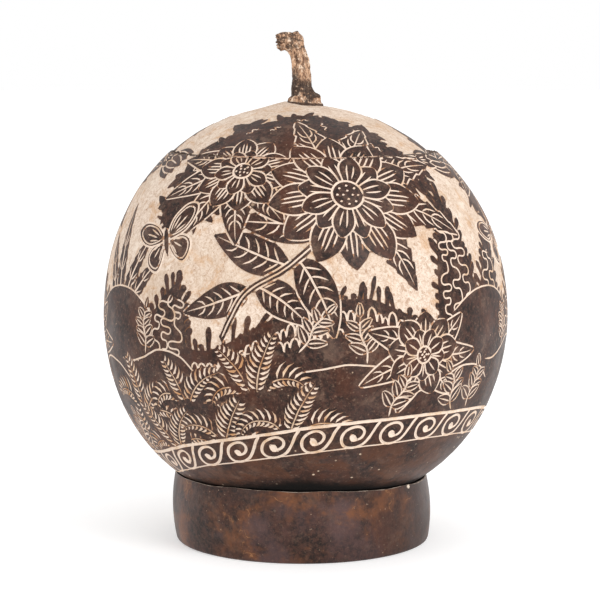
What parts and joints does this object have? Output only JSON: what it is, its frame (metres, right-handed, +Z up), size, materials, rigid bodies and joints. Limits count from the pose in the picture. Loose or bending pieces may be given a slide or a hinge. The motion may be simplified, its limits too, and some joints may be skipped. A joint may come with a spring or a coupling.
{
  "type": "carved dried gourd jar",
  "caption": "Round lidded jar made from a dried gourd, its lid keeping the dried stem as a knob, resting on a low ring cut from a second gourd.",
  "frame": {"origin": "on the surface that the ring stands on, under the middle of the gourd's widest part", "axes": "+Z up along the gourd's axis towards the stem; -Y is the side that the picture shows; +X is to the right there"},
  "size_m": [0.1498, 0.1498, 0.1888],
  "materials": {
    "gourd_body": "dried gourd shell, dyed dark brown with a soft sheen, scraped to cream where it is carved",
    "gourd_lid": "the same shell, mostly scraped to cream, with a dry ridged tan stem",
    "ring_base": "dried gourd shell, dyed dark brown and mottled, satin"
  },
  "bodies": {
    "root": {"gourd_body": "gourd_body", "gourd_lid": "gourd_lid", "ring_base": "ring_base"}
  },
  "joints": []
}
